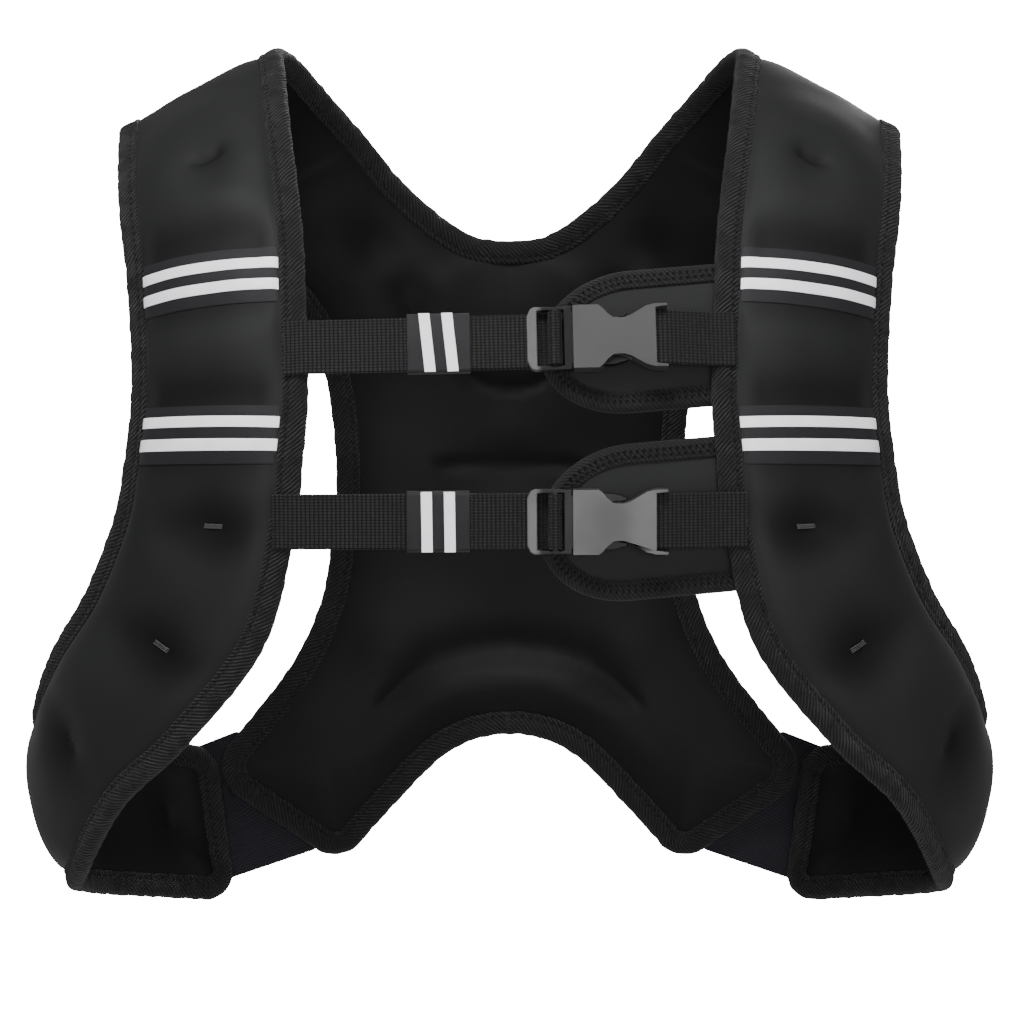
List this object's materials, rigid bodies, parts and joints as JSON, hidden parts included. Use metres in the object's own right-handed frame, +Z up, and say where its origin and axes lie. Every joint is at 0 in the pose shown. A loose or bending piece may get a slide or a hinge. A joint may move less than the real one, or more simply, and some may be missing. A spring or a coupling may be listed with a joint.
{
  "type": "weighted fitness vest",
  "caption": "Padded neoprene weight vest for training, with bound edges, reflective chest tapes, buckled chest straps and elastic sides, shaped as worn.",
  "frame": {"origin": "midway between the two shoulders, at the height of the shoulder pads' underside, where the vest rests on the wearer", "axes": "+Z up along the upright wearer, -Y out of the wearer's chest, +X to the wearer's left"},
  "size_m": [0.4548, 0.2434, 0.4073],
  "materials": {
    "neoprene": "black neoprene with a fine knitted face",
    "binding": "black twill tape",
    "tape": "charcoal woven tape",
    "reflective": "silver retroreflective print",
    "webbing": "black ribbed polyester webbing",
    "plastic": "grey satin acetal",
    "elastic": "dark stretch elastic"
  },
  "bodies": {
    "root": {"vest_body": "neoprene", "edge_binding": "binding", "tape_upper_left": "tape", "tape_stripe_upper_left_1": "reflective", "tape_stripe_upper_left_2": "reflective", "tape_upper_right": "tape", "tape_stripe_upper_right_1": "reflective", "tape_stripe_upper_right_2": "reflective", "tape_lower_left": "tape", "tape_stripe_lower_left_1": "reflective", "tape_stripe_lower_left_2": "reflective", "tape_lower_right": "tape", "tape_stripe_lower_right_1": "reflective", "tape_stripe_lower_right_2": "reflective", "strap_long_upper": "webbing", "strap_short_upper": "webbing", "buckle_male_upper": "plastic", "buckle_female_upper": "plastic", "keeper_upper": "tape", "keeper_stripe_upper_1": "reflective", "keeper_stripe_upper_2": "reflective", "buckle_flap_upper": "neoprene", "flap_binding_upper": "binding", "strap_long_lower": "webbing", "strap_short_lower": "webbing", "buckle_male_lower": "plastic", "buckle_female_lower": "plastic", "keeper_lower": "tape", "keeper_stripe_lower_1": "reflective", "keeper_stripe_lower_2": "reflective", "buckle_flap_lower": "neoprene", "flap_binding_lower": "binding", "side_elastic_left": "elastic", "side_elastic_right": "elastic"}
  },
  "joints": []
}
